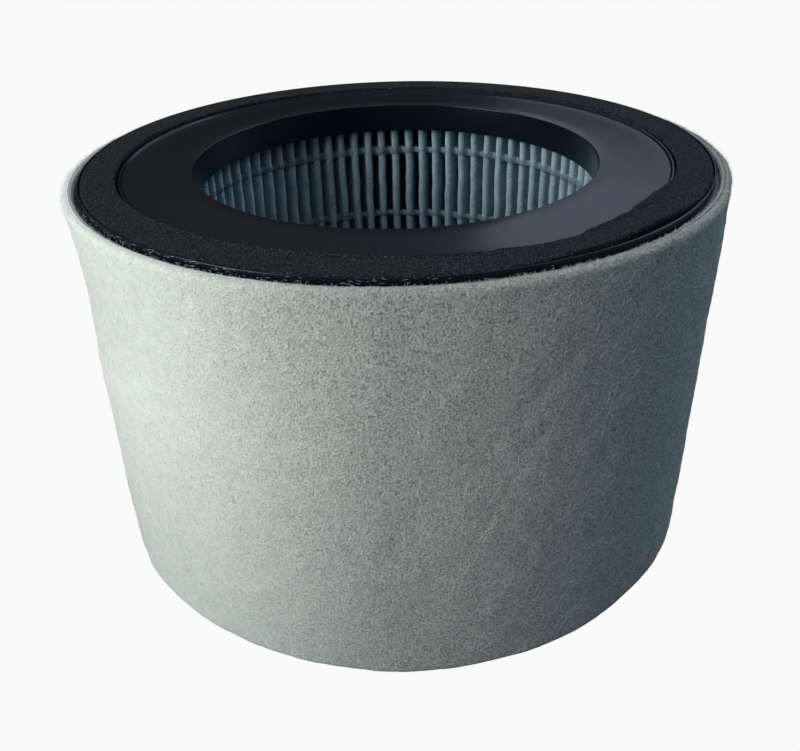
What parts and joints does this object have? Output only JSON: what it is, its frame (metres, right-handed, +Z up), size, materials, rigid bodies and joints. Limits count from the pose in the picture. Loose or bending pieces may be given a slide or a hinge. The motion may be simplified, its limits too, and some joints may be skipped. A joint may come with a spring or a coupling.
{
  "type": "air purifier filter",
  "caption": "Short hollow cylinder filter with pleated paper, black end caps, a foam seal ring on top and a thick felt wrap.",
  "frame": {"origin": "middle of the foot, in the plane that the filter stands on", "axes": "+Z up along the cylinder's axis, towards the foam seal; +Y towards the felt's seam"},
  "size_m": [0.195, 0.195, 0.1201],
  "materials": {
    "cap_plastic": "moulded with a fine grain",
    "seal_foam": "open-cell foam",
    "glue": "set hot glue",
    "filter_paper": "fibrous",
    "felt": "needled felt with loose fibres"
  },
  "bodies": {
    "root": {"top_end_cap": "cap_plastic", "bottom_end_cap": "cap_plastic", "top_foam_seal": "seal_foam", "pleated_media": "filter_paper", "inner_glue_bead_1": "glue", "inner_glue_bead_2": "glue", "inner_glue_bead_3": "glue", "inner_glue_bead_4": "glue", "felt_wrap": "felt"}
  },
  "joints": []
}
